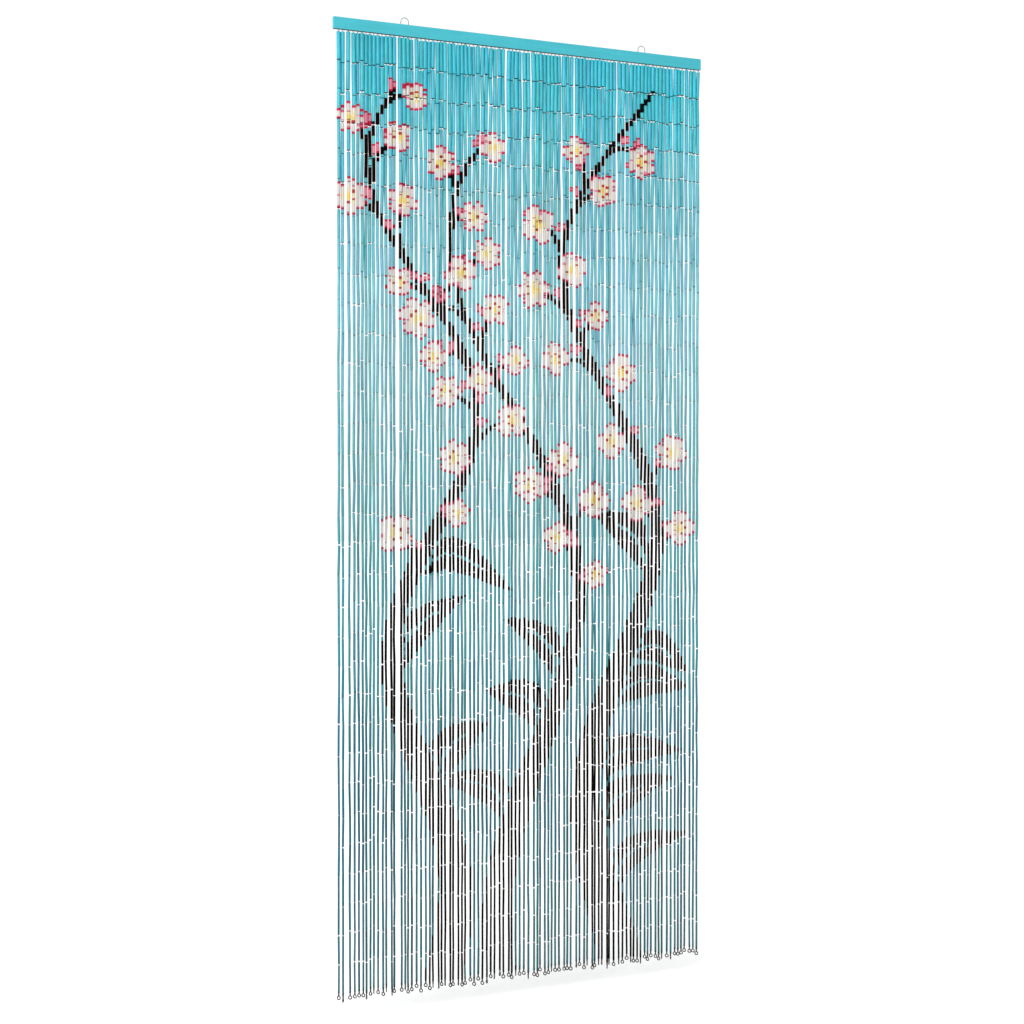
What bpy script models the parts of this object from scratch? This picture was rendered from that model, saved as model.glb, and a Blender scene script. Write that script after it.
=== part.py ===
"""Fly curtain of bamboo sticks: a painted rail with two wire eyes, and ninety strands that hang below it.

Metres, +Z up. X runs along the rail, and the painted front faces -Y. The origin is where the hooks bear:
midway between the two eyes, under the crown of their arches. The real strands are sticks on wire links, each
hung from its own loop. Here each strand is one four-sided bar, drawn in at its upper joints, and a narrow
strip under the rail stands for the row of loops.
"""
import math
import random

import bmesh
import bpy
from mathutils import Matrix, Vector

# Rail
RAIL_WIDTH = 0.900
RAIL_HEIGHT = 0.025
RAIL_DEPTH = 0.008
RAIL_EDGE = 0.0010
RAIL_SHIFT = -0.003  # how far its middle lies from the middle of the eyes and strands

# Hanging eyes: wire arches whose legs stand in holes in the rail
EYE_SPACING = 0.582
EYE_WIDTH = 0.020
EYE_HEIGHT = 0.015
EYE_WIRE = 0.0020
EYE_SET_IN = 0.0070
HOLE_CLEARANCE = 0.0004
ARCH_STEPS = 12

# Heights, counted from the hooks' bearing point
GAP = 0.0003
RAIL_TOP = EYE_WIRE - EYE_HEIGHT
RAIL_FOOT = RAIL_TOP - RAIL_HEIGHT
STRIP_HEIGHT = 0.0012
STRIP_DEPTH = 0.0040
STRIP_FOOT = RAIL_FOOT - GAP - STRIP_HEIGHT

# Strands
STRANDS = 90
STRAND_SPAN = 0.881
STRAND_LENGTH = 1.958
STRAND_LENGTH_SPREAD = 0.006
STICKS = 32
FIRST_STICK_DROP = 0.0034
FIRST_DROP_SPREAD = 0.0014
PITCH_SPREAD = 0.0040
LINK_GAPS = (0.0003, 0.0034)  # least and most between a stick and the next
LINK_RISE = 0.0010
LINK_WIDTH = 0.0020
STICK_CLEARANCE = 0.0003
STRAND_GAP_POWER = 6  # the higher, the fewer and wider the open gaps between strands
TOP_SLACK = (0.0016, 0.0014)  # along and across the rail
FOOT_SLACK = (0.0024, 0.0032)
LEAN_SHARES = (0.3, 0.85)  # at the top and the foot, how much of the slack is a strand's own steady lean
SEED = 7

# End rings
RING_WIDTH = 0.0090
RING_WIRE = 0.0023
RING_NECK = 0.0045
RING_CLEARANCE = 0.0003
RING_TURN = math.radians(65)  # the most, where there is room

# Stick diameter along a strand, counted in sticks from the top
DIAMETERS = (  # stick, diameter
    (0, 0.0088),
    (1, 0.0085),
    (2, 0.0080),
    (3, 0.0073),
    (5, 0.0067),
    (8, 0.0061),
    (12, 0.0056),
    (20, 0.0054),
    (31, 0.0043),
)
DIAMETER_SPREAD = 0.08
JOINT_GAP_POWERS = (  # stick, power: the higher, the fewer wide gaps below sticks like it
    (0, 1.6),
    (3, 2.0),
    (6, 5.0),
    (14, 4.0),
    (22, 1.6),
    (31, 1.1),
)
SQUARE_SHARE = 0.9

# Which joints a strand's bar is drawn in at, and which others it bends at
DRAWN_IN_JOINTS = (0, 1)
BENT_JOINTS = (6, 16)

# Looks
TURQUOISE = (0.085, 0.500, 0.620)
STEEL = (0.420, 0.420, 0.430)


def clear_scene():
    for obj in list(bpy.data.objects):
        bpy.data.objects.remove(obj, do_unlink=True)


def material(name, colour, roughness, metallic):
    made = bpy.data.materials.new(name)
    made.use_nodes = True
    shader = made.node_tree.nodes["Principled BSDF"]
    shader.inputs["Base Color"].default_value = (*colour, 1.0)
    shader.inputs["Roughness"].default_value = roughness
    shader.inputs["Metallic"].default_value = metallic
    return made


def add_object(name, data, finish=None):
    obj = bpy.data.objects.new(name, data)
    bpy.context.scene.collection.objects.link(obj)
    if finish:
        data.materials.append(finish)
    return obj


def add_mesh(name, bm, finish=None):
    mesh = bpy.data.meshes.new(name)
    bmesh.ops.recalc_face_normals(bm, faces=bm.faces)
    bm.to_mesh(mesh)
    bm.free()
    return add_object(name, mesh, finish)


def boolean(target, cutter, operation):
    """The cutter stays as a guide, out of the render."""
    step = target.modifiers.new(cutter.name, "BOOLEAN")
    step.object = cutter
    step.operation = operation
    step.solver = "EXACT"
    cutter.hide_render = True
    cutter.display_type = "WIRE"


def box(name, size, centre, finish=None):
    bm = bmesh.new()
    bmesh.ops.create_cube(bm, size=1.0)
    bmesh.ops.scale(bm, vec=size, verts=bm.verts)
    bmesh.ops.translate(bm, vec=centre, verts=bm.verts)
    return add_mesh(name, bm, finish)


def eye_leg_places():
    """X of the four legs, eye by eye."""
    reach = (EYE_WIDTH - EYE_WIRE) / 2
    return [side * EYE_SPACING / 2 + leg * reach for side in (-1, 1) for leg in (-1, 1)]


def leg_holes():
    """One mesh with the four drilled holes, wider than the legs by the clearance."""
    bm = bmesh.new()
    radius = EYE_WIRE / 2 + HOLE_CLEARANCE
    depth = EYE_SET_IN + HOLE_CLEARANCE
    for x in eye_leg_places():
        place = Matrix.Translation((x, 0, RAIL_TOP))
        bmesh.ops.create_cone(
            bm, cap_ends=True, segments=8, radius1=radius, radius2=radius, depth=2 * depth, matrix=place
        )
    return add_mesh("leg_holes", bm)


def build_rail(finish):
    middle = (RAIL_TOP + RAIL_FOOT) / 2
    rail = box("rail", (RAIL_WIDTH, RAIL_DEPTH, RAIL_HEIGHT), (RAIL_SHIFT, 0, middle), finish)
    edges = rail.modifiers.new("broken_edges", "BEVEL")
    edges.width = RAIL_EDGE
    edges.segments = 1
    boolean(rail, leg_holes(), "DIFFERENCE")
    return rail


def build_eye(name, x, finish):
    """A wire bent up from its hole, over a half circle and down again."""
    reach = (EYE_WIDTH - EYE_WIRE) / 2
    spring = EYE_WIRE / 2 - reach
    foot = RAIL_TOP - EYE_SET_IN
    turns = [math.pi * step / ARCH_STEPS for step in range(ARCH_STEPS + 1)]
    arch = [(-reach * math.cos(turn), spring + reach * math.sin(turn)) for turn in turns]
    route = [(-reach, foot), *arch, (reach, foot)]
    curve = bpy.data.curves.new(name, "CURVE")
    curve.dimensions = "3D"
    curve.bevel_depth = EYE_WIRE / 2
    curve.bevel_resolution = 2
    curve.use_fill_caps = True
    spline = curve.splines.new("POLY")
    spline.points.add(len(route) - 1)
    for point, (across, height) in zip(spline.points, route):
        point.co = (across, 0, height, 1)
    eye = add_object(name, curve, finish)
    eye.location.x = x
    return eye


def between(pair, share):
    return pair[0] + (pair[1] - pair[0]) * share


def looked_up(table, stick):
    """A value for a stick, between the rows of a short table."""
    for (low, first), (high, last) in zip(table, table[1:]):
        if stick <= high:
            return between((first, last), (stick - low) / (high - low))
    return table[-1][1]


def strand_homes(draw, widths):
    """Where each strand hangs along the rail: most side by side, with an open gap here and there."""
    reaches = [(left + right) / 2 + STICK_CLEARANCE for left, right in zip(widths, widths[1:])]
    shares = [draw.random() ** STRAND_GAP_POWER for _ in reaches]
    spare = STRAND_SPAN - sum(reaches)
    homes = [-STRAND_SPAN / 2]
    for reach, share in zip(reaches, shares):
        homes.append(homes[-1] + reach + spare * share / sum(shares))
    return homes


def joint_heights(draw):
    """Heights of a strand's joints: the top of each stick, and one link below the last stick's foot."""
    top = RAIL_FOOT - FIRST_STICK_DROP + draw.uniform(-1, 1) * FIRST_DROP_SPREAD
    length = STRAND_LENGTH + draw.uniform(-1, 1) * STRAND_LENGTH_SPREAD
    strays = [draw.uniform(-1, 1) * PITCH_SPREAD for _ in range(STICKS)]
    even = (length - sum(strays)) / STICKS
    heights = [top]
    for stray in strays:
        heights.append(heights[-1] - even - stray)
    return heights


def spread_out(places, widths):
    """Moves neighbours apart until their sticks clear each other, half of it each way along the rail."""
    reaches = [(left + right) / 2 + STICK_CLEARANCE for left, right in zip(widths, widths[1:])]
    rightward, leftward = list(places), list(places)
    for number, reach in enumerate(reaches):
        rightward[number + 1] = max(rightward[number + 1], rightward[number] + reach)
    for number, reach in reversed(list(enumerate(reaches))):
        leftward[number] = min(leftward[number], leftward[number + 1] - reach)
    return [(right + left) / 2 for right, left in zip(rightward, leftward)]


def strand_plan():
    """For each strand, its sticks as (top, foot, diameter), from seeded draws in a fixed order."""
    draw = random.Random(SEED)
    usual = [looked_up(DIAMETERS, stick) for stick in range(STICKS)]
    diameters = [
        [size * (1 + draw.uniform(-1, 1) * DIAMETER_SPREAD) for size in usual]
        for _ in range(STRANDS)
    ]
    homes = strand_homes(draw, [sizes[0] for sizes in diameters])
    heights = [joint_heights(draw) for _ in range(STRANDS)]
    leans = [(draw.uniform(-1, 1), draw.uniform(-1, 1)) for _ in range(STRANDS)]
    joints = [[] for _ in range(STRANDS)]
    for level in range(STICKS + 1):
        slack = [between(pair, level / STICKS) for pair in zip(TOP_SLACK, FOOT_SLACK)]
        kept = between(LEAN_SHARES, level / STICKS)
        sways = []
        for lean in leans:
            strays = [draw.uniform(-1, 1) for _ in lean]
            sways.append([
                reach * (kept * steady + (1 - kept) * stray)
                for reach, steady, stray in zip(slack, lean, strays)
            ])
        widths = [max(sizes[max(level - 1, 0):level + 1]) for sizes in diameters]
        places = spread_out([home + sway[0] for home, sway in zip(homes, sways)], widths)
        for knots, x, sway, levels in zip(joints, places, sways, heights):
            knots.append(Vector((x, sway[1], levels[level])))
    strands = []
    for knots, sizes in zip(joints, diameters):
        sticks = []
        for stick, (top, below, diameter) in enumerate(zip(knots, knots[1:], sizes)):
            gap = between(LINK_GAPS, draw.random() ** looked_up(JOINT_GAP_POWERS, stick))
            foot = below.lerp(top, gap / (top.z - below.z))
            sticks.append((top, foot, diameter))
        strands.append(sticks)
    return strands


def ring_turns(strands):
    """Each end ring's turn about the vertical, which keeps it clear of the strands beside it."""
    draw = random.Random(SEED + 1)
    places = [sticks[-1][1].x for sticks in strands]
    turns = []
    for number, place in enumerate(places):
        beside = places[max(number - 1, 0):number] + places[number + 1:number + 2]
        room = min(abs(place - other) for other in beside) / 2 - RING_CLEARANCE
        share = (room - RING_WIRE / 2) / (RING_WIDTH / 2)
        least = math.acos(min(max(share, 0), 1))
        turns.append(draw.choice((-1, -1, -1, 1)) * draw.uniform(least, max(least, RING_TURN)))
    return turns


def section(bm, centre, width, depth, turn=0.0):
    """Four points round a centre; a turn past 45 degrees swaps the sides, so that bars never twist far."""
    if abs(turn) > math.pi / 4:
        width, depth = depth, width
        turn -= math.copysign(math.pi / 2, turn)
    spin = Matrix.Rotation(turn, 3, "Z")
    corners = ((-1, -1), (1, -1), (1, 1), (-1, 1))
    return [bm.verts.new(centre + spin @ Vector((x * width / 2, y * depth / 2, 0))) for x, y in corners]


def add_bar(bm, sections):
    """A closed four-sided bar through its sections, top to bottom."""
    for upper, lower in zip(sections, sections[1:]):
        for corner in range(4):
            beside = (corner + 1) % 4
            bm.faces.new((upper[corner], lower[corner], lower[beside], upper[beside]))
    bm.faces.new(sections[0])
    bm.faces.new(reversed(sections[-1]))


def add_strand(bm, sticks, turn):
    sides = [diameter * SQUARE_SHARE for _, _, diameter in sticks]
    top = sticks[0][0]
    root = Vector((top.x, top.y, STRIP_FOOT + STRIP_HEIGHT / 2))
    sections = [section(bm, root, LINK_WIDTH, LINK_WIDTH)]
    sections.append(section(bm, top + Vector((0, 0, LINK_RISE)), LINK_WIDTH, LINK_WIDTH))
    sections.append(section(bm, top, sides[0], sides[0]))
    for joint in DRAWN_IN_JOINTS:
        foot, below = sticks[joint][1], sticks[joint + 1][0]
        sections.append(section(bm, foot, sides[joint], sides[joint]))
        sections.append(section(bm, (foot + below) / 2, LINK_WIDTH, LINK_WIDTH))
        sections.append(section(bm, below, sides[joint + 1], sides[joint + 1]))
    for joint in BENT_JOINTS:
        side = (sides[joint] + sides[joint + 1]) / 2
        sections.append(section(bm, sticks[joint][1], side, side))
    foot = sticks[-1][1]
    shoulder = foot - Vector((0, 0, RING_NECK))
    sections.append(section(bm, foot, sides[-1], sides[-1]))
    sections.append(section(bm, shoulder, RING_WIRE, RING_WIRE, turn))
    for share, drop in ((1.0, 0.30), (1.0, 0.65), (0.45, 1.0)):
        level = shoulder - Vector((0, 0, RING_WIDTH * drop))
        sections.append(section(bm, level, RING_WIDTH * share, RING_WIRE, turn))
    add_bar(bm, sections)


def build_strands(finish):
    bm = bmesh.new()
    strands = strand_plan()
    for sticks, turn in zip(strands, ring_turns(strands)):
        add_strand(bm, sticks, turn)
    bars = add_mesh("bars", bm)
    length = STRAND_SPAN + 2 * STRIP_DEPTH
    middle = STRIP_FOOT + STRIP_HEIGHT / 2
    strip = box("strands", (length, STRIP_DEPTH, STRIP_HEIGHT), (0, 0, middle), finish)
    boolean(strip, bars, "UNION")
    return strip


def main():
    clear_scene()
    paint = material("painted_bamboo", TURQUOISE, 0.45, 0.0)
    rail_paint = material("painted_rail", TURQUOISE, 0.40, 0.0)
    steel = material("wire", STEEL, 0.35, 1.0)
    build_rail(rail_paint)
    build_eye("eye_left", -EYE_SPACING / 2, steel)
    build_eye("eye_right", EYE_SPACING / 2, steel)
    build_strands(paint)


main()
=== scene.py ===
"""Looks of the bamboo fly curtain: painted sticks on wire links, end rings, a rail and its wire eyes.

Metres, +Z up. X runs along the rail, and the painted front faces -Y. The origin is where the hooks bear,
midway between the eyes. The pattern is worked out on a canvas with one column for each strand, and each
stick takes its colours from there.
"""
import math
import random

import bpy
import numpy as np
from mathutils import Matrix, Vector


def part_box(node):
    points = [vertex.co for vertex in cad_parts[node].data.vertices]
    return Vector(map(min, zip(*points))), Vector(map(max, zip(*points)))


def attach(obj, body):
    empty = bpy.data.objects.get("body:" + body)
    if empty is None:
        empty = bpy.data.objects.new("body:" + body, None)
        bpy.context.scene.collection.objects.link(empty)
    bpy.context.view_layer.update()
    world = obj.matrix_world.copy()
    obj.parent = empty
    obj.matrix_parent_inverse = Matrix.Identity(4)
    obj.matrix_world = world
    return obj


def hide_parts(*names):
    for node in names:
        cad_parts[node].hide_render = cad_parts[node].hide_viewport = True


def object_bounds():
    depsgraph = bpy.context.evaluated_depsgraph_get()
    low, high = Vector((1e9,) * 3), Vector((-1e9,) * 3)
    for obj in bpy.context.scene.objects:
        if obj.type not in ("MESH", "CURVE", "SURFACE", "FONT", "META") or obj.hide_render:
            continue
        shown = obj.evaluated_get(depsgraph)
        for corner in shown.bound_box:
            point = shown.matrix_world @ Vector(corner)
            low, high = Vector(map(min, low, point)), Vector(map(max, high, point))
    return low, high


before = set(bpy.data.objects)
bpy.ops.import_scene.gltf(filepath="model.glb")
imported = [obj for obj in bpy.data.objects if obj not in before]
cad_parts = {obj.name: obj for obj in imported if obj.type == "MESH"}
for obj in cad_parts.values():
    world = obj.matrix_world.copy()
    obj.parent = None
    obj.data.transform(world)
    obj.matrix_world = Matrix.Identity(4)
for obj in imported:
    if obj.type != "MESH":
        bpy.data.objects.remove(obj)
cad_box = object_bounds()
rail_low, rail_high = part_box("rail")

# Strands: the same plan as the solids
STRANDS = 90
STRAND_SPAN = 0.881
STRAND_LENGTH = 1.958
STRAND_LENGTH_SPREAD = 0.006
STICKS = 32
FIRST_STICK_DROP = 0.0034
FIRST_DROP_SPREAD = 0.0014
PITCH_SPREAD = 0.0040
LINK_GAPS = (0.0003, 0.0034)  # least and most between a stick and the next
STICK_CLEARANCE = 0.0003
STRAND_GAP_POWER = 6  # the higher, the fewer and wider the open gaps between strands
TOP_SLACK = (0.0016, 0.0014)  # along and across the rail
FOOT_SLACK = (0.0024, 0.0032)
LEAN_SHARES = (0.3, 0.85)  # at the top and the foot, how much of the slack is a strand's own steady lean
SEED = 7
DIAMETERS = (  # stick, diameter
    (0, 0.0088),
    (1, 0.0085),
    (2, 0.0080),
    (3, 0.0073),
    (5, 0.0067),
    (8, 0.0061),
    (12, 0.0056),
    (20, 0.0054),
    (31, 0.0043),
)
DIAMETER_SPREAD = 0.08
JOINT_GAP_POWERS = (  # stick, power: the higher, the fewer wide gaps below sticks like it
    (0, 1.6),
    (3, 2.0),
    (6, 5.0),
    (14, 4.0),
    (22, 1.6),
    (31, 1.1),
)

# End rings
RING_WIDTH = 0.0090
RING_WIRE = 0.0023
RING_NECK = 0.0045
RING_CLEARANCE = 0.0003
RING_TURN = math.radians(65)  # the most, where there is room
RING_WAYS = (-1, -1, -1, 1)  # most rings turn the same way
RING_TILT = math.radians(14)
RING_STEPS = 18
RING_SIDES = 8
NECK_WIRE = 0.0032
NECK_SIDES = 6

# Sticks
STRANDS_PER_PIECE = 15
UPPER_STICKS = 8
UPPER_SIDES = 12
LOWER_SIDES = 8
SHARP_EDGE = math.radians(50)
END_ROUND = 0.00035
HOLLOW_SHARE = 0.55
HOLLOW_DEPTH = 0.0020
BOW = 0.00040

# Darkening at the sticks' feet: each is the share of the paint's colour that it leaves
FOOT_DARK_HEIGHT = 0.0020
FOOT_DARK_ROOM = 1.1  # times its height, in which no other colour begins
FOOT_DARK_STICKS = 5  # from the top down, with the upper darkening
UPPER_FOOT_DARKS = (0.1, 0.4)
LOWER_FOOT_DARKS = (0.1, 1.0)
LAST_FOOT_DARK = 0.4
LAST_FOOT_DARK_HEIGHT = 0.0090
RIM_SHARES = (0.8, 0.5)  # of the colour beside them, on the rounded rims at a stick's top and foot

# How much one stick's paint differs from the next
TINT_SHARES = (0.46, 1.0)  # at the top and the foot of the curtain
TONE_SPREAD = 0.30
PALE_SPREAD = 0.65
COOL_SPREAD = 0.12

# Links and loops
STRANDS_PER_LINK_PIECE = 30
LINK_WIRE = 0.0006
LINK_REACH = 0.00080
LINK_SIDES = 5
LINK_BENDS = 4
RAIL_LOOP_WIRE = 0.0008
RAIL_LOOP_REACH = 0.0013
RAIL_LOOP_TURN = 0.4
WIRE_SET_IN = 0.0015

# Rail and eyes
RAIL_EDGE = 0.0012
RAIL_EDGE_STEPS = 4
EYE_WIDTH = 0.020
EYE_WIRE = 0.0020
EYE_SET_IN = 0.0060
EYE_SIDES = 14
EYE_BENDS = 28

# Pattern: lengths in metres, angles in radians
CANVAS_STEP = 0.002
THINNEST_HALF = 0.75 * CANVAS_STEP
LONGEST_RUN = 4  # rows of a petal or a centre that are painted as one
SHORTEST_RUN = CANVAS_STEP / 4
PAINT_SHIFT = 0.0025  # the most that a strand's paint sits above or below its place
PATTERN_HEM_SHADE = 0.34  # how much darker its colours are at the hem, as painted shade
PATTERN_REACH = (0.430, 0.035)  # how far out from the middle it goes, and how near the top

# Vines, and the side lines that leaves and twigs follow
VINE_STEPS = 400
HEADING_STEPS = 6
VINE_SWAY = (0.35, 1.0)  # the share of its swing that a vine has at its foot and its tip
STEM_WIDTHS = (0.0200, 0.0100)
RIM_WIDTH = 0.0050  # bare ground around a stem or leaf, where it crosses another
SIDE_STEPS = 60
BEND_PLACE = 0.55  # where a side line bends, and how much of its lean it has before
BEND_LEANS = (0.3, 0.5)

# Leaves: their places, steps and parts are shares of a vine's or leaf's length
LOWEST_LEAF = 0.05
LEAFY_SHARE = 0.46
LEAF_STEPS = (0.024, 0.034)
LEAF_LENGTHS = (0.15, 0.24)
LEAF_WIDTHS = (0.066, 0.084)
LEAF_LEANS = (0.95, 1.30)
LEAF_STALK = 0.10
LEAF_FULLNESS = 0.8  # the lower, the blunter its ends
LEAF_FOOT = 0.5  # how much of a leaf may lie over its own stem
CROWDED_SHARE = 0.08  # how much of a leaf's outer part may lie over other stems and leaves
RIB_WIDTH = 0.0030
RIB_ENDS = (1 / 6, 5 / 6)

# Twigs, with a flower at the tip and buds on the way
TWIG_WIDTH = 0.0080
TWIG_LENGTHS = (0.050, 0.125)
TWIG_LEANS = (0.55, 1.15)
TWIG_RISE = 0.010
FLOWER_STEPS = (0.026, 0.052)  # shares of a vine's length
FLOWER_ROOM = 0.070
FLOWER_SIZES = (0.032, 0.044)
PETAL_COUNTS = (4, 6)
BUD_SIZE = 0.0095
BUD_STRETCH = 1.5
BUD_PLACES = (0.43, 0.78)  # shares of a twig's length
BUD_ASIDE = 0.022
BUD_ABOVE = (0.016, 0.026)

# A flower's parts: each reach is a share of its radius
NOTCH_REACH = 0.62
BLUSH_ROWS = 3
TIP_ROWS = 2
SEAM_REACH = 0.50
SEAM_WIDTH = 0.22
CREAM_REACH = 0.45
CENTRE_REACH = 0.22
DOT_REACH = 0.32
DOT_WIDTH = 0.07
DOTS = 5
DOT_EDGE = 0.35  # the higher, the smaller the dots

VINES = (  # place of its foot, swing, wave, phase, height, how much wider its foot is
    (-0.235, 0.150, 1.02, 0.6, 1.86, 0.076),
    (0.225, 0.160, 1.16, 2.9, 1.90, 0.090),
    (0.000, 0.200, 1.50, 4.6, 1.72, 0.070),
)

# Camera, found from the rail's corners, the eyes, the outer strands and the lowest rings in the photo
CAMERA_PLACE = (-2.312, -3.960, -0.946)
CAMERA_AIM = (0.4982, 0.8669, -0.01575)
LENS = 75.6
SENSOR = 36.0

# Light and floor
WHITE = (1, 1, 1, 1)
SIDE_LIGHTS = (0.42, 1.04)  # on the dark side and the bright side
BRIGHT_WAY = (-0.87, 0.50, 0.0)
LIGHT_EDGE = (-0.80, -0.25)  # where the dark side ends and the bright side begins, along BRIGHT_WAY
KEY_LIGHT = 1.9
KEY_WIDTH = math.radians(50)
KEY_WAY = (0.80, 0.45, -0.55)
FLOOR_DROP = 0.03
FLOOR_REACH = 30.0
FLOOR_SHADE = 0.95
FLOOR_GLOW = 0.10

# Materials: waves are counted in a metre along X, Y and Z, and shades multiply a colour
NOISE_RANGE = (0.3, 0.7)
FIBRE_WAVES = (1500, 1500, 30)
FIBRE_SHADES = (0.86, 1.10)
STICK_BLOTCH_WAVES = (120, 120, 45)
STICK_BLOTCH_SHADES = (0.90, 1.08)
STICK_ROUGHNESS = (0.55, 0.70)
STICK_SPECULAR = 0.03
GLOSSY_PAINT = (0.08, 0.38)  # how green the paint is where its gloss begins, and where it is full
GLOSS_ROUGHNESS = 0.38
GRAIN_WAVES = (7, 260, 420)
GRAIN_SHADES = (0.93, 1.05)
RAIL_BLOTCH_WAVES = (18, 60, 60)
RAIL_BLOTCH_SHADES = (0.96, 1.03)
RAIL_ROUGHNESS = (0.38, 0.52)
RAIL_SPECULAR = 0.25
UNDERSIDE_SHADE_HEIGHTS = (0.0003, 0.0012)  # above the rail's foot: where the painted shade on its underside ends
PATCH_WAVES = (300, 300, 300)
PATCH_SHADES = (0.70, 1.15)
WIRE_ROUGHNESS = (0.50, 0.30)

# Colours, as screen values from 0 to 255
GROUND_TONES = (  # the ground colour, darkening towards the hem as painted shade: share of the drop, red, green, blue
    (0.00, 36, 169, 186),
    (0.08, 61, 174, 189),
    (0.16, 76, 160, 173),
    (0.25, 86, 166, 179),
    (0.34, 89, 158, 169),
    (0.50, 66, 140, 148),
    (0.66, 50, 124, 134),
    (0.77, 33, 97, 110),
    (0.88, 39, 96, 106),
    (1.00, 44, 92, 100),
)
STEM_TONE = (7, 5, 6)
PETAL_TONE = (198, 192, 187)
CREAM_TONE = (208, 197, 160)
BLUSH_TONE = (206, 118, 140)
TIP_TONE = (178, 26, 62)
CENTRE_TONE = (214, 184, 66)
DOT_TONE = (170, 52, 56)
# painted shade on the sticks' cut ends, and deeper painted shade in their hollows
END_SHADE_TONE = (22, 28, 28)
HOLLOW_SHADE_TONE = (8, 9, 9)
RAIL_TONE = (68, 176, 189)
# the share of the rail's colour left on its underside, as painted shade
RAIL_UNDERSIDE_SHADE = 0.05
WIRE_TONE = (166, 174, 178)
DARK_WIRE_TONE = (52, 48, 46)


def linear(tone):
    """A screen colour as linear light."""
    shares = np.asarray(tone, float) / 255.0
    return np.where(shares <= 0.04045, shares / 12.92, ((shares + 0.055) / 1.055) ** 2.4)


def between(pair, share):
    """The value at a share of the way from the first of a pair to the second."""
    return pair[0] + (pair[1] - pair[0]) * share


def looked_up(table, stick):
    """A value for a stick, between the rows of a short table."""
    for (low, first), (high, last) in zip(table, table[1:]):
        if stick <= high:
            return between((first, last), (stick - low) / (high - low))
    return table[-1][1]


def strand_homes(draw, widths):
    """Where each strand hangs along the rail: most side by side, with an open gap here and there."""
    reaches = [(left + right) / 2 + STICK_CLEARANCE for left, right in zip(widths, widths[1:])]
    shares = [draw.random() ** STRAND_GAP_POWER for _ in reaches]
    spare = STRAND_SPAN - sum(reaches)
    homes = [-STRAND_SPAN / 2]
    for reach, share in zip(reaches, shares):
        homes.append(homes[-1] + reach + spare * share / sum(shares))
    return homes


def joint_heights(draw):
    """Heights of a strand's joints: the top of each stick, and one link below the last stick's foot."""
    top = rail_low.z - FIRST_STICK_DROP + draw.uniform(-1, 1) * FIRST_DROP_SPREAD
    length = STRAND_LENGTH + draw.uniform(-1, 1) * STRAND_LENGTH_SPREAD
    strays = [draw.uniform(-1, 1) * PITCH_SPREAD for _ in range(STICKS)]
    even = (length - sum(strays)) / STICKS
    heights = [top]
    for stray in strays:
        heights.append(heights[-1] - even - stray)
    return heights


def spread_out(places, widths):
    """Moves neighbours apart until their sticks clear each other, half of it each way along the rail."""
    reaches = [(left + right) / 2 + STICK_CLEARANCE for left, right in zip(widths, widths[1:])]
    rightward, leftward = list(places), list(places)
    for number, reach in enumerate(reaches):
        rightward[number + 1] = max(rightward[number + 1], rightward[number] + reach)
    for number, reach in reversed(list(enumerate(reaches))):
        leftward[number] = min(leftward[number], leftward[number + 1] - reach)
    return [(right + left) / 2 for right, left in zip(rightward, leftward)]


def strand_plan():
    """For each strand, its sticks as (top, foot, diameter), from seeded draws in a fixed order."""
    draw = random.Random(SEED)
    usual = [looked_up(DIAMETERS, stick) for stick in range(STICKS)]
    diameters = [
        [size * (1 + draw.uniform(-1, 1) * DIAMETER_SPREAD) for size in usual]
        for _ in range(STRANDS)
    ]
    homes = strand_homes(draw, [sizes[0] for sizes in diameters])
    heights = [joint_heights(draw) for _ in range(STRANDS)]
    leans = [(draw.uniform(-1, 1), draw.uniform(-1, 1)) for _ in range(STRANDS)]
    joints = [[] for _ in range(STRANDS)]
    for level in range(STICKS + 1):
        slack = [between(pair, level / STICKS) for pair in zip(TOP_SLACK, FOOT_SLACK)]
        kept = between(LEAN_SHARES, level / STICKS)
        sways = []
        for lean in leans:
            strays = [draw.uniform(-1, 1) for _ in lean]
            sways.append([
                reach * (kept * steady + (1 - kept) * stray)
                for reach, steady, stray in zip(slack, lean, strays)
            ])
        widths = [max(sizes[max(level - 1, 0):level + 1]) for sizes in diameters]
        places = spread_out([home + sway[0] for home, sway in zip(homes, sways)], widths)
        for knots, x, sway, levels in zip(joints, places, sways, heights):
            knots.append(Vector((x, sway[1], levels[level])))
    strands = []
    for knots, sizes in zip(joints, diameters):
        sticks = []
        for stick, (top, below, diameter) in enumerate(zip(knots, knots[1:], sizes)):
            gap = between(LINK_GAPS, draw.random() ** looked_up(JOINT_GAP_POWERS, stick))
            foot = below.lerp(top, gap / (top.z - below.z))
            sticks.append((top, foot, diameter))
        strands.append(sticks)
    return strands


def ring_turns(strands):
    """Each end ring's turn about the vertical, which keeps it clear of the strands beside it."""
    draw = random.Random(SEED + 1)
    places = [sticks[-1][1].x for sticks in strands]
    turns = []
    for number, place in enumerate(places):
        beside = places[max(number - 1, 0):number] + places[number + 1:number + 2]
        room = min(abs(place - other) for other in beside) / 2 - RING_CLEARANCE
        share = (room - RING_WIRE / 2) / (RING_WIDTH / 2)
        least = math.acos(min(max(share, 0), 1))
        turns.append(draw.choice(RING_WAYS) * draw.uniform(least, max(least, RING_TURN)))
    return turns


def run_ends(mask, rows):
    """The first and last rows of each run of a mask down a strand."""
    inner = mask.copy()
    inner[:, rows:] &= mask[:, :-rows]
    inner[:, :-rows] &= mask[:, rows:]
    return mask & ~inner


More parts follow.
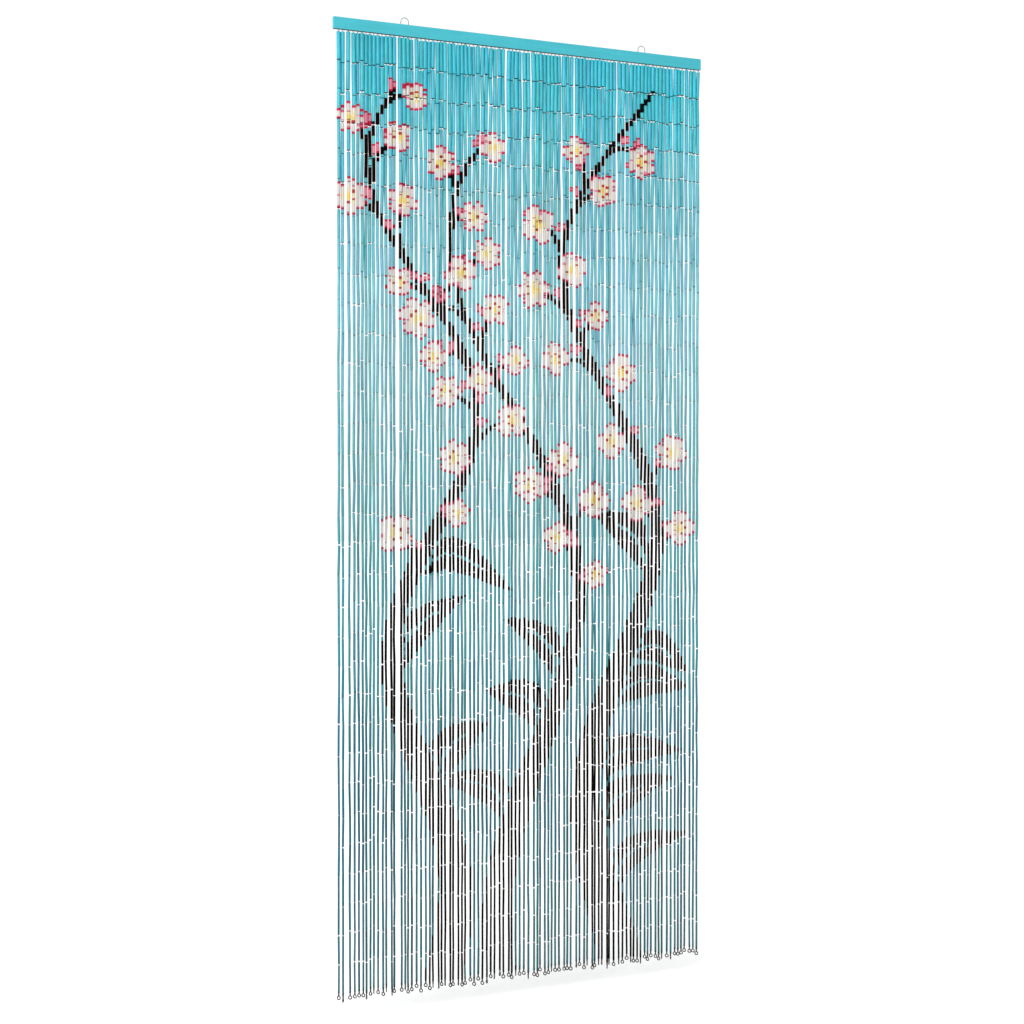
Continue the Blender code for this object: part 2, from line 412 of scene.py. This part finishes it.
class Canvas:
    """The painted pattern: a column for each strand, and a row for each step down from the top."""

    GROUND, STEM, PETAL, BLUSH, TIP, CENTRE, DOT = range(7)
    SMOOTH = (PETAL, CENTRE)

    def __init__(self, homes, top, foot):
        self.top = top
        self.drop = top - foot
        rows = math.ceil(self.drop / CANVAS_STEP)
        self.x = np.array(homes)[:, None]
        self.z = (top - CANVAS_STEP * (np.arange(rows) + 0.5))[None, :]
        share = (top - self.z[0]) / self.drop
        self.hem_shade = (1 - PATTERN_HEM_SHADE * share)[None, :, None]
        table = np.array(GROUND_TONES)
        tones = [np.interp(share, table[:, 0], table[:, channel]) for channel in (1, 2, 3)]
        self.kind = np.full((STRANDS, rows), self.GROUND)
        self.ground = np.broadcast_to(linear(np.stack(tones, -1)), (STRANDS, rows, 3))
        self.colour = self.ground.copy()

    def clear(self, mask):
        """Back to bare ground."""
        self.kind[mask] = self.GROUND
        self.colour[mask] = self.ground[mask]

    def fill(self, mask, kind, tone, hem_shades=1):
        """Paints a tone with painted shade that darkens it towards the hem, the more so the more hem_shades
        it has.
        """
        self.kind[mask] = kind
        self.colour[mask] = (linear(tone) * self.hem_shade ** hem_shades * np.ones(self.colour.shape))[mask]

    def line(self, points, widths):
        """Where a line along points lies, with a width at each. A thin one marks each strand it passes."""
        marked = np.zeros(self.kind.shape, bool)
        reach = STRAND_SPAN / (STRANDS - 1) / 2
        for (x, z), width in zip(points, widths):
            half = max(width / 2, THINNEST_HALF)
            first = max(int((self.top - z - half) / CANVAS_STEP), 0)
            rows = slice(first, max(int((self.top - z + half) / CANVAS_STEP) + 1, first))
            across, up = np.abs(self.x - x), np.abs(self.z[:, rows] - z)
            passed = (across < reach) & (up < half)
            marked[:, rows] |= passed | (np.hypot(across, up) < width / 2)
        return marked

    def stroke(self, points, widths, rim=RIM_WIDTH):
        """A dark line with a rim of bare ground, so that it reads as lying over what it crosses."""
        self.clear(self.line(points, [width + 2 * rim for width in widths]))
        self.fill(self.line(points, widths), self.STEM, STEM_TONE)

    def leaf(self, points, width):
        """A broad pointed leaf along points, its midrib bare, if what is painted leaves room for it."""
        shares = np.clip((np.linspace(0, 1, len(points)) - LEAF_STALK) / (1 - LEAF_STALK), 0, 1)
        widths = width * np.sin(math.pi * shares) ** LEAF_FULLNESS
        outer = int(LEAF_FOOT * len(points))
        blade = self.line(points[outer:], widths[outer:] + 2 * RIM_WIDTH)
        if (self.kind[blade] == self.STEM).mean() > CROWDED_SHARE:
            return
        self.stroke(points, widths)
        rib_start, rib_end = (int(end * len(points)) for end in RIB_ENDS)
        rib = points[rib_start:rib_end]
        self.clear(self.line(rib, [RIB_WIDTH] * len(rib)))

    def flower(self, x, z, radius, petals, turn):
        """A round open flower: pale petals with deep tips, and a dotted centre."""
        across, up = self.x - x, self.z - z
        reach = np.hypot(across, up) / radius
        angle = np.arctan2(up, across) + turn
        lobe = np.abs(np.cos(angle * petals / 2))
        petal = reach < NOTCH_REACH + (1 - NOTCH_REACH) * np.sqrt(lobe)
        seam = petal & (lobe < SEAM_WIDTH) & (reach > SEAM_REACH)
        self.fill(petal, self.PETAL, PETAL_TONE)
        self.fill(seam, self.BLUSH, BLUSH_TONE, hem_shades=2)
        self.fill(run_ends(petal, BLUSH_ROWS), self.BLUSH, BLUSH_TONE, hem_shades=2)
        self.fill(run_ends(petal, TIP_ROWS), self.TIP, TIP_TONE, hem_shades=3)
        self.fill(reach < CREAM_REACH, self.CENTRE, CREAM_TONE)
        self.fill(reach < CENTRE_REACH, self.CENTRE, CENTRE_TONE)
        dotted = (np.abs(reach - DOT_REACH) < DOT_WIDTH) & (np.cos(angle * DOTS) > DOT_EDGE)
        self.fill(dotted, self.DOT, DOT_TONE, hem_shades=2)

    def bud(self, x, z, radius, turn):
        """A closed bud: a small leaning oval, deep at its ends."""
        across, up = self.x - x, self.z - z
        along = across * math.cos(turn) + up * math.sin(turn)
        aside = -across * math.sin(turn) + up * math.cos(turn)
        oval = np.hypot(along / BUD_STRETCH, aside) < radius
        self.fill(oval, self.BLUSH, BLUSH_TONE, hem_shades=2)
        self.fill(run_ends(oval, TIP_ROWS), self.TIP, TIP_TONE, hem_shades=3)

    def runs(self, strand, top, foot, shift, tint):
        """The pattern between two heights of a strand, as (upper height, lower height, their colours)."""
        rows = self.kind.shape[1]
        first = int(np.clip((self.top - top + shift) / CANVAS_STEP, 0, rows - 1))
        last = int(np.clip((self.top - foot + shift) / CANVAS_STEP, first, rows - 1))
        kinds = self.kind[strand, first:last + 1]
        colours = self.colour[strand, first:last + 1]
        cuts = [0]
        for row in range(1, len(kinds)):
            changed = kinds[row] != kinds[row - 1]
            long = kinds[row] in self.SMOOTH and row - cuts[-1] >= LONGEST_RUN
            if changed or long:
                cuts.append(row)
        cuts.append(len(kinds))
        found = []
        for start, end in zip(cuts, cuts[1:]):
            upper = top if start == 0 else self.top - CANVAS_STEP * (first + start) + shift
            lower = foot if end == len(kinds) else self.top - CANVAS_STEP * (first + end) + shift
            if upper - lower > SHORTEST_RUN:
                wash = tint if kinds[start] == self.GROUND else tint[1]  # the pattern keeps its hues
                found.append((upper, lower, colours[start] * wash, colours[end - 1] * wash))
        return found


def arc(handles, count):
    """Points along a cubic curve through its four handles."""
    points = []
    for step in range(count + 1):
        t = step / count
        weights = ((1 - t) ** 3, 3 * (1 - t) ** 2 * t, 3 * (1 - t) * t ** 2, t ** 3)
        points.append(tuple(sum(w * handle[axis] for w, handle in zip(weights, handles)) for axis in (0, 1)))
    return points


def vine_line(foot, foot_x, swing, wave, phase, height):
    """Points up a vine from the hem, which sways wider as it climbs."""
    points = []
    for share in np.linspace(0, 1, VINE_STEPS + 1):
        climb = height * share
        sway = swing * between(VINE_SWAY, share) * math.sin(math.tau * climb / wave + phase)
        points.append((foot_x + sway, foot + climb))
    return points


def vine_heading(spine, at):
    """Which way a vine runs at one of its points."""
    (last_x, last_z), (x, z) = spine[at - HEADING_STEPS], spine[at]
    return math.atan2(z - last_z, x - last_x)


def branching(draw, start, heading, lean, length, rise=0.0):
    """A side line from start: it leaves the vine with part of its lean, then bends out to all of it."""
    x, z = start
    out = heading + lean
    tip = (x + length * math.cos(out), z + length * math.sin(out) + rise)
    early = heading + lean * draw.uniform(*BEND_LEANS)
    bend = (x + BEND_PLACE * length * math.cos(early), z + BEND_PLACE * length * math.sin(early))
    return arc((start, bend, bend, tip), SIDE_STEPS)


def grow_leaves(draw, canvas, spine, widths):
    """Broad leaves on alternate sides of a vine's lower part, where there is room for them."""
    side = draw.choice((-1, 1))
    share = LOWEST_LEAF
    while share < LEAFY_SHARE:
        at = int(share * VINE_STEPS)
        length = widths[at] / 2 + draw.uniform(*LEAF_LENGTHS)
        lean = side * draw.uniform(*LEAF_LEANS)
        leaf = branching(draw, spine[at], vine_heading(spine, at), lean, length)
        if abs(leaf[-1][0]) < PATTERN_REACH[0]:
            canvas.leaf(leaf, draw.uniform(*LEAF_WIDTHS))
        share += draw.uniform(*LEAF_STEPS)
        side = -side


def grow_twigs(draw, spine, highest, flowers):
    """Twigs on alternate sides of a vine's upper part, where their tips leave room for a flower each."""
    twigs = []
    side = draw.choice((-1, 1))
    share = LEAFY_SHARE
    while share < 1.0:
        at = int(share * VINE_STEPS)
        lean = side * draw.uniform(*TWIG_LEANS)
        length = draw.uniform(*TWIG_LENGTHS)
        twig = branching(draw, spine[at], vine_heading(spine, at), lean, length, TWIG_RISE)
        x, z = twig[-1]
        inside = abs(x) < PATTERN_REACH[0] and z < highest
        if inside and all(math.hypot(x - near_x, z - near_z) > FLOWER_ROOM for near_x, near_z in flowers):
            twigs.append(twig)
            flowers.append((x, z))
        share += draw.uniform(*FLOWER_STEPS)
        side = -side
    return twigs


def paint_pattern(homes, top, foot):
    """Three vines that climb from the hem and cross, with broad leaves low down and open flowers above."""
    draw = random.Random(SEED + 2)
    canvas = Canvas(homes, top, foot)
    vines = []
    for foot_x, swing, wave, phase, height, spread in VINES:
        spine = vine_line(foot, foot_x, swing, wave, phase, height)
        shares = np.linspace(0, 1, VINE_STEPS + 1)
        vines.append((spine, [between(STEM_WIDTHS, share) + spread * (1 - share) ** 2 for share in shares]))
    for spine, widths in vines:
        canvas.stroke(spine, widths)
    for spine, widths in vines:
        grow_leaves(draw, canvas, spine, widths)
    twigs, flowers = [], []
    for spine, widths in vines:
        canvas.stroke(spine, widths)
        twigs += grow_twigs(draw, spine, top - PATTERN_REACH[1], flowers)
    for twig in twigs:
        canvas.stroke(twig, [TWIG_WIDTH] * len(twig), rim=0)
    for twig in twigs:
        for place in BUD_PLACES:
            x, z = twig[int(place * len(twig))]
            aside, above = draw.uniform(-BUD_ASIDE, BUD_ASIDE), draw.uniform(*BUD_ABOVE)
            canvas.bud(x + aside, z + above, BUD_SIZE, draw.uniform(0, math.pi))
    for x, z in flowers:
        size, petals = draw.uniform(*FLOWER_SIZES), draw.choice(PETAL_COUNTS)
        canvas.flower(x, z, size, petals, draw.uniform(0, math.tau))
    return canvas


class Pile:
    """Gathers many small closed bodies into one mesh, with a colour for each face corner."""

    def __init__(self):
        self.points = []
        self.faces = []
        self.colours = []
        self.count = 0

    def add(self, rings, upper=None, lower=None, closed=False, caps=(None, None)):
        """A skin over rings of points, shape (rings, sides, 3), with end caps unless it is a closed loop.

        upper and lower give the colour at the two edges of each stretch between rings.
        """
        total, sides, _ = rings.shape
        stretches = total if closed else total - 1
        ring = np.arange(stretches)[:, None]
        side = np.arange(sides)[None, :]
        after, beside = (ring + 1) % total, (side + 1) % sides
        corners = [ring * sides + side, after * sides + side, after * sides + beside, ring * sides + beside]
        quads = np.stack([np.broadcast_to(corner, (stretches, sides)) for corner in corners], -1)
        self.points.append(rings.reshape(-1, 3))
        self.faces.extend((quads.reshape(-1, 4) + self.count).tolist())
        if upper is not None:
            pair = np.stack([upper, lower, lower, upper], 1)
            self.colours.append(np.repeat(pair, sides, axis=0).reshape(-1, 3))
        if not closed:
            around = np.arange(sides)
            self.faces.append((around + self.count).tolist())
            self.faces.append((around[::-1] + (total - 1) * sides + self.count).tolist())
            if upper is not None:
                self.colours.extend(np.repeat(cap[None, :], sides, axis=0) for cap in caps)
        self.count += total * sides

    def make(self, name, finish, sharp=None):
        """The piece, smooth all over, or only where its faces meet at less than the sharp angle."""
        mesh = bpy.data.meshes.new(name)
        mesh.from_pydata(np.concatenate(self.points), [], self.faces)
        if self.colours:
            layer = mesh.color_attributes.new("paint", "FLOAT_COLOR", "CORNER")
            colours = np.concatenate(self.colours)
            solid = np.column_stack([colours, np.ones(len(colours))])
            layer.data.foreach_set("color", solid.astype(np.float32).ravel())
        mesh.shade_smooth()
        if sharp:
            mesh.set_sharp_from_angle(angle=sharp)
        mesh.materials.append(finish)
        obj = bpy.data.objects.new(name, mesh)
        bpy.context.scene.collection.objects.link(obj)
        return obj


def circle(sides):
    """Points around a circle of radius 1."""
    turns = np.arange(sides) * (math.tau / sides)
    return np.stack([np.cos(turns), np.sin(turns)], -1)


def add_wire(pile, points, across, radius, sides, closed=False):
    """A round wire along points that lie in one plane; across is that plane's normal."""
    points = np.asarray(points, float)
    across = np.asarray(across, float)
    if closed:
        ahead = np.roll(points, -1, axis=0) - np.roll(points, 1, axis=0)
    else:
        ahead = np.gradient(points, axis=0)
    ahead /= np.linalg.norm(ahead, axis=1)[:, None]
    out = np.cross(ahead, across)
    spread = circle(sides) * radius
    rings = points[:, None, :] + spread[None, :, :1] * across + spread[None, :, 1:] * out[:, None, :]
    pile.add(rings, closed=closed)


def add_hook(pile, root, crown, reach, turn, wire, sides=LINK_SIDES, bends=LINK_BENDS):
    """A wire bent to a U: two legs from the root's level, and a half circle with the crown outermost."""
    along = Vector((math.cos(turn), math.sin(turn), 0))
    down = 1 if root.z > crown.z else -1
    middle = crown + Vector((0, 0, down * reach))
    points = [root - along * reach]
    for bend in range(bends + 1):
        angle = math.pi * bend / bends
        out = Vector((0, 0, down * reach * math.sin(angle)))
        points.append(middle - along * reach * math.cos(angle) - out)
    points.append(root + along * reach)
    add_wire(pile, points, (-along.y, along.x, 0), wire / 2, sides)


def add_link(pile, above, below, reach, wire, turn):
    """Two hooks, one in the other, between the piece above and the one below."""
    middle = (above + below) / 2
    set_in = Vector((0, 0, WIRE_SET_IN))
    lift = Vector((0, 0, wire / 2))
    add_hook(pile, above + set_in, middle - lift, reach, turn, wire)
    add_hook(pile, below - set_in, middle + lift, reach, turn + math.pi / 2, wire)


def stick_tint(draw, mood, stick):
    """How a stick's paint differs from the mixed colour; half of it is the strand's own mood."""
    amount = between(TINT_SHARES, stick / STICKS)
    tone, cool, pale = (amount * (own + draw.uniform(-1, 1)) / 2 for own in mood)
    hue = np.array([1 + PALE_SPREAD * pale, 1 - COOL_SPREAD * cool, 1 + COOL_SPREAD * cool])
    return (1 + TONE_SPREAD * tone) * hue


def add_stick(pile, top, foot, diameter, runs, sides, bow, foot_dark, foot_dark_height):
    """A hollow stick with rounded rims, dark at its foot, and a ring of points at each change of colour."""
    radius = diameter / 2
    hollow = radius * HOLLOW_SHARE
    # the cut ends and the hollow carry painted shade
    end_shade, dark = linear(END_SHADE_TONE), linear(HOLLOW_SHADE_TONE)
    first, last = runs[0][2], runs[-1][3]
    stations = [
        (top.z - HOLLOW_DEPTH, hollow, dark, dark),
        (top.z, hollow, end_shade, end_shade),
        (top.z, radius - END_ROUND, first * RIM_SHARES[0], first),
    ]
    for number, (upper, lower, upper_colour, lower_colour) in enumerate(runs):
        height = top.z - END_ROUND if number == 0 else upper
        stations.append((height, radius, upper_colour, lower_colour))
    dark_top = foot.z + FOOT_DARK_ROOM * foot_dark_height
    stations = [station for station in stations if station[0] > dark_top]
    stations += [
        (foot.z + foot_dark_height, radius, last, last * foot_dark),
        (foot.z + END_ROUND, radius, last * foot_dark, last * foot_dark * RIM_SHARES[1]),
        (foot.z, radius - END_ROUND, end_shade, end_shade),
        (foot.z, hollow, dark, dark),
        (foot.z + HOLLOW_DEPTH, hollow, dark, dark),
    ]
    heights = np.array([station[0] for station in stations])
    radii = np.array([station[1] for station in stations])
    shares = (top.z - heights) / (top.z - foot.z)
    swell = 4 * shares * (1 - shares)  # 0 at both ends and 1 halfway
    centres = np.outer(1 - shares, top) + np.outer(shares, foot)
    centres[:, :2] += np.outer(swell, bow)
    centres[:, 2] = heights
    spread = circle(sides)
    rings = np.repeat(centres[:, None, :], sides, axis=1)
    rings[:, :, :2] += radii[:, None, None] * spread[None, :, :]
    upper = np.array([station[2] for station in stations[:-1]])
    lower = np.array([station[3] for station in stations[:-1]])
    pile.add(rings, upper, lower, caps=(dark, dark))


def nodes_of(name):
    """A new material, its node tree and its shader."""
    made = bpy.data.materials.new(name)
    made.use_nodes = True
    tree = made.node_tree
    return made, tree, tree.nodes["Principled BSDF"]


def plain_colour(tree, tone):
    """A screen colour, to be shaded."""
    node = tree.nodes.new("ShaderNodeRGB")
    node.outputs["Color"].default_value = (*linear(tone), 1)
    return node.outputs["Color"]


def stretched_noise(tree, waves, detail):
    """Noise in the piece's own coordinates, with its own number of waves in a metre along each axis."""
    place = tree.nodes.new("ShaderNodeTexCoord")
    mapping = tree.nodes.new("ShaderNodeMapping")
    mapping.inputs["Scale"].default_value = waves
    noise = tree.nodes.new("ShaderNodeTexNoise")
    noise.inputs["Scale"].default_value = 1.0
    noise.inputs["Detail"].default_value = detail
    tree.links.new(place.outputs["Object"], mapping.inputs["Vector"])
    tree.links.new(mapping.outputs["Vector"], noise.inputs["Vector"])
    return noise.outputs["Fac"]


def ranged(tree, value, source, result):
    """A value of the source range, moved to the same share of the result range."""
    node = tree.nodes.new("ShaderNodeMapRange")
    node.inputs["From Min"].default_value, node.inputs["From Max"].default_value = source
    node.inputs["To Min"].default_value, node.inputs["To Max"].default_value = result
    tree.links.new(value, node.inputs["Value"])
    return node.outputs["Result"]


def scaled(tree, colour, factor):
    """A colour times a factor."""
    node = tree.nodes.new("ShaderNodeVectorMath")
    node.operation = "SCALE"
    tree.links.new(colour, node.inputs[0])
    tree.links.new(factor, node.inputs["Scale"])
    return node.outputs["Vector"]


def shaded(tree, colour, noise, shades):
    """A colour made darker and lighter by noise."""
    return scaled(tree, colour, ranged(tree, noise, NOISE_RANGE, shades))


def bumped(tree, shader, height, distance, strength):
    """Gives the surface small bumps."""
    bump = tree.nodes.new("ShaderNodeBump")
    bump.inputs["Distance"].default_value = distance
    bump.inputs["Strength"].default_value = strength
    tree.links.new(height, bump.inputs["Height"])
    tree.links.new(bump.outputs["Normal"], shader.inputs["Normal"])


def painted_bamboo():
    """Paint on bamboo: fibres show as streaks and faint ridges, pale paint has a gloss, dark is dull."""
    made, tree, shader = nodes_of("painted_bamboo")
    paint = tree.nodes.new("ShaderNodeVertexColor")
    paint.layer_name = "paint"
    fibre = stretched_noise(tree, FIBRE_WAVES, detail=4.0)
    blotch = stretched_noise(tree, STICK_BLOTCH_WAVES, detail=2.0)
    streaked = shaded(tree, paint.outputs["Color"], fibre, FIBRE_SHADES)
    toned = shaded(tree, streaked, blotch, STICK_BLOTCH_SHADES)
    tree.links.new(toned, shader.inputs["Base Color"])
    tree.links.new(ranged(tree, fibre, NOISE_RANGE, STICK_ROUGHNESS), shader.inputs["Roughness"])
    shader.inputs["Specular IOR Level"].default_value = STICK_SPECULAR
    parts = tree.nodes.new("ShaderNodeSeparateColor")
    tree.links.new(paint.outputs["Color"], parts.inputs["Color"])
    gloss = ranged(tree, parts.outputs["Green"], GLOSSY_PAINT, (0.0, 1.0))
    tree.links.new(gloss, shader.inputs["Coat Weight"])
    shader.inputs["Coat Roughness"].default_value = GLOSS_ROUGHNESS
    bumped(tree, shader, fibre, distance=0.0003, strength=0.35)
    return made


def painted_rail():
    """Satin paint on a planed batten, with the grain and the brush along it, and painted shade on its
    underside.
    """
    made, tree, shader = nodes_of("painted_rail")
    grain = stretched_noise(tree, GRAIN_WAVES, detail=5.0)
    blotch = stretched_noise(tree, RAIL_BLOTCH_WAVES, detail=2.0)
    streaked = shaded(tree, plain_colour(tree, RAIL_TONE), grain, GRAIN_SHADES)
    toned = shaded(tree, streaked, blotch, RAIL_BLOTCH_SHADES)
    place = tree.nodes.new("ShaderNodeTexCoord")
    split = tree.nodes.new("ShaderNodeSeparateXYZ")
    tree.links.new(place.outputs["Object"], split.inputs["Vector"])
    # painted shade: the underside darkens to a small share of the paint's colour
    edge = [rail_low.z + height for height in UNDERSIDE_SHADE_HEIGHTS]
    painted = ranged(tree, split.outputs["Z"], edge, (RAIL_UNDERSIDE_SHADE, 1.0))
    tree.links.new(scaled(tree, toned, painted), shader.inputs["Base Color"])
    tree.links.new(ranged(tree, grain, NOISE_RANGE, RAIL_ROUGHNESS), shader.inputs["Roughness"])
    shader.inputs["Specular IOR Level"].default_value = RAIL_SPECULAR
    bumped(tree, shader, grain, distance=0.0003, strength=0.30)
    return made


def dull_wire(name, tone, metallic):
    """Galvanised wire gone dull, with darker patches."""
    made, tree, shader = nodes_of(name)
    patch = stretched_noise(tree, PATCH_WAVES, detail=3.0)
    patched = shaded(tree, plain_colour(tree, tone), patch, PATCH_SHADES)
    tree.links.new(patched, shader.inputs["Base Color"])
    tree.links.new(ranged(tree, patch, NOISE_RANGE, WIRE_ROUGHNESS), shader.inputs["Roughness"])
    shader.inputs["Metallic"].default_value = metallic
    bumped(tree, shader, patch, distance=0.0001, strength=0.30)
    return made


def add_strand(pile, draw, canvas, number, sticks):
    """A strand's sticks, each with its part of the pattern and its own tint, bow and darkened foot."""
    shift = draw.uniform(-1, 1) * PAINT_SHIFT
    mood = [draw.uniform(-1, 1) for _ in range(3)]
    for stick, (top, foot, diameter) in enumerate(sticks):
        sides = UPPER_SIDES if stick < UPPER_STICKS else LOWER_SIDES
        runs = canvas.runs(number, top.z, foot.z, shift, stick_tint(draw, mood, stick))
        bow = [draw.uniform(-BOW, BOW) for _ in range(2)]
        foot_dark = draw.uniform(*(UPPER_FOOT_DARKS if stick < FOOT_DARK_STICKS else LOWER_FOOT_DARKS))
        foot_dark_height = FOOT_DARK_HEIGHT
        if stick == STICKS - 1:
            foot_dark, foot_dark_height = LAST_FOOT_DARK, LAST_FOOT_DARK_HEIGHT
        add_stick(pile, top, foot, diameter, runs, sides, bow, foot_dark, foot_dark_height)


def make_sticks(strands, canvas, finish):
    """The painted sticks, in pieces of several strands each."""
    draw = random.Random(SEED + 3)
    pieces = []
    for piece, first in enumerate(range(0, STRANDS, STRANDS_PER_PIECE), start=1):
        pile = Pile()
        for number in range(first, first + STRANDS_PER_PIECE):
            add_strand(pile, draw, canvas, number, strands[number])
        pieces.append(pile.make(f"sticks_{piece}", finish, sharp=SHARP_EDGE))
    return pieces


def make_links(strands, finish):
    """The wire links between sticks, and the larger loops that hang each strand from the rail."""
    draw = random.Random(SEED + 4)
    pieces = []
    for piece, first in enumerate(range(0, STRANDS, STRANDS_PER_LINK_PIECE), start=1):
        pile = Pile()
        for sticks in strands[first:first + STRANDS_PER_LINK_PIECE]:
            for (_, above, _), (below, _, _) in zip(sticks, sticks[1:]):
                add_link(pile, above, below, LINK_REACH, LINK_WIRE, draw.uniform(0, math.pi))
        pieces.append(pile.make(f"links_{piece}", finish))
    pile = Pile()
    for sticks in strands:
        top = sticks[0][0]
        under_rail = Vector((top.x, top.y, rail_low.z))
        turn = draw.uniform(-RAIL_LOOP_TURN, RAIL_LOOP_TURN)
        add_link(pile, under_rail, top, RAIL_LOOP_REACH, RAIL_LOOP_WIRE, turn)
    pieces.append(pile.make("rail_loops", finish))
    return pieces


def make_end_rings(strands, finish):
    """The wire ring that ends each strand, and the neck that holds it in the last stick."""
    draw = random.Random(SEED + 5)
    pile = Pile()
    radius = (RING_WIDTH - RING_WIRE) / 2
    for sticks, turn in zip(strands, ring_turns(strands)):
        foot = sticks[-1][1]
        along = Vector((math.cos(turn), math.sin(turn), 0))
        across = Vector((-along.y, along.x, 0))
        middle = foot - Vector((0, 0, RING_NECK + RING_WIDTH / 2))
        tilt = draw.uniform(-RING_TILT, RING_TILT)
        ring = []
        for step in range(RING_STEPS):
            angle = math.tau * step / RING_STEPS + tilt
            up = Vector((0, 0, radius * math.sin(angle)))
            ring.append(middle + along * radius * math.cos(angle) + up)
        add_wire(pile, ring, across, RING_WIRE / 2, RING_SIDES, closed=True)
        neck_foot = foot - Vector((0, 0, RING_NECK + RING_WIRE / 2))
        neck = [foot + Vector((0, 0, WIRE_SET_IN)), foot.lerp(neck_foot, 0.5), neck_foot]
        add_wire(pile, neck, across, NECK_WIRE / 2, NECK_SIDES)
    return pile.make("end_rings", finish)


def make_rail(finish):
    """The batten, its edges rounded by hand sanding."""
    mesh = bpy.data.meshes.new("rail_batten")
    low, high = rail_low, rail_high
    corners = [(x, y, z) for x in (low.x, high.x) for y in (low.y, high.y) for z in (low.z, high.z)]
    faces = [(0, 1, 3, 2), (4, 6, 7, 5), (0, 4, 5, 1), (2, 3, 7, 6), (0, 2, 6, 4), (1, 5, 7, 3)]
    mesh.from_pydata(corners, [], faces)
    mesh.materials.append(finish)
    rail = bpy.data.objects.new("rail_batten", mesh)
    bpy.context.scene.collection.objects.link(rail)
    edges = rail.modifiers.new("rounded", "BEVEL")
    edges.width = RAIL_EDGE
    edges.segments = RAIL_EDGE_STEPS
    mesh.shade_smooth()
    return rail


def make_eye(node, finish):
    """The wire arch, with the fine roundness that its solid lacks."""
    low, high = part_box(node)
    x = (low.x + high.x) / 2
    reach = (EYE_WIDTH - EYE_WIRE) / 2
    pile = Pile()
    root = Vector((x, 0, rail_high.z - EYE_SET_IN))
    crown = Vector((x, 0, high.z - EYE_WIRE / 2))
    add_hook(pile, root, crown, reach, 0.0, EYE_WIRE, sides=EYE_SIDES, bends=EYE_BENDS)
    return pile.make(f"hanging_{node}", finish)


def make_floor():
    """A white floor below the hem."""
    mesh = bpy.data.meshes.new("floor")
    level = cad_box[0].z - FLOOR_DROP
    corners = [(-1, -1), (1, -1), (1, 1), (-1, 1)]
    mesh.from_pydata([(x * FLOOR_REACH, y * FLOOR_REACH, level) for x, y in corners], [], [(0, 1, 2, 3)])
    floor = bpy.data.objects.new("floor", mesh)
    bpy.context.scene.collection.objects.link(floor)
    made, _, shader = nodes_of("floor_paint")
    shader.inputs["Base Color"].default_value = (FLOOR_SHADE, FLOOR_SHADE, FLOOR_SHADE, 1)
    shader.inputs["Emission Color"].default_value = WHITE
    shader.inputs["Emission Strength"].default_value = FLOOR_GLOW
    shader.inputs["Roughness"].default_value = 1.0
    shader.inputs["Specular IOR Level"].default_value = 0.0
    mesh.materials.append(made)


def make_light():
    """Soft light from all round, weak from one side, and a wide sun from the front left."""
    world = bpy.data.worlds.new("studio")
    world.use_nodes = True
    tree = world.node_tree
    background = tree.nodes["Background"]
    place = tree.nodes.new("ShaderNodeTexCoord")
    towards = tree.nodes.new("ShaderNodeVectorMath")
    towards.operation = "DOT_PRODUCT"
    towards.inputs[1].default_value = BRIGHT_WAY
    tree.links.new(place.outputs["Generated"], towards.inputs[0])
    strength = ranged(tree, towards.outputs["Value"], LIGHT_EDGE, SIDE_LIGHTS)
    tree.links.new(strength, background.inputs["Strength"])
    background.inputs["Color"].default_value = WHITE
    bpy.context.scene.world = world

    key = bpy.data.lights.new("key", "SUN")
    key.energy = KEY_LIGHT
    key.angle = KEY_WIDTH
    lamp = bpy.data.objects.new("key", key)
    lamp.rotation_euler = Vector(KEY_WAY).to_track_quat("-Z", "Y").to_euler()
    bpy.context.scene.collection.objects.link(lamp)


def make_camera():
    """The camera, at the photo's place and angle."""
    data = bpy.data.cameras.new("camera")
    data.lens = LENS
    data.sensor_width = SENSOR
    camera = bpy.data.objects.new("camera", data)
    camera.location = CAMERA_PLACE
    camera.rotation_euler = Vector(CAMERA_AIM).to_track_quat("-Z", "Y").to_euler()
    bpy.context.scene.collection.objects.link(camera)
    bpy.context.scene.camera = camera


def stand_for(pieces, node):
    """Puts pieces in the place of a node, which it hides, on the one body."""
    for piece in pieces:
        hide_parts(node)
        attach(piece, "root")


def main():
    """The stage first, then every piece in the place of its node."""
    make_camera()
    make_floor()
    make_light()
    bpy.context.scene.view_settings.view_transform = "Standard"
    strands = strand_plan()
    homes = [(sticks[0][0].x + sticks[-1][1].x) / 2 for sticks in strands]
    top = rail_low.z - FIRST_STICK_DROP
    canvas = paint_pattern(homes, top, top - STRAND_LENGTH)
    wire = dull_wire("dull_wire", WIRE_TONE, metallic=0.70)
    dark_wire = dull_wire("dark_wire", DARK_WIRE_TONE, metallic=0.40)
    stand_for(make_sticks(strands, canvas, painted_bamboo()), "strands")
    stand_for(make_links(strands, wire), "strands")
    stand_for([make_end_rings(strands, dark_wire)], "strands")
    stand_for([make_rail(painted_rail())], "rail")
    for node in ("eye_left", "eye_right"):
        stand_for([make_eye(node, wire)], node)


main()
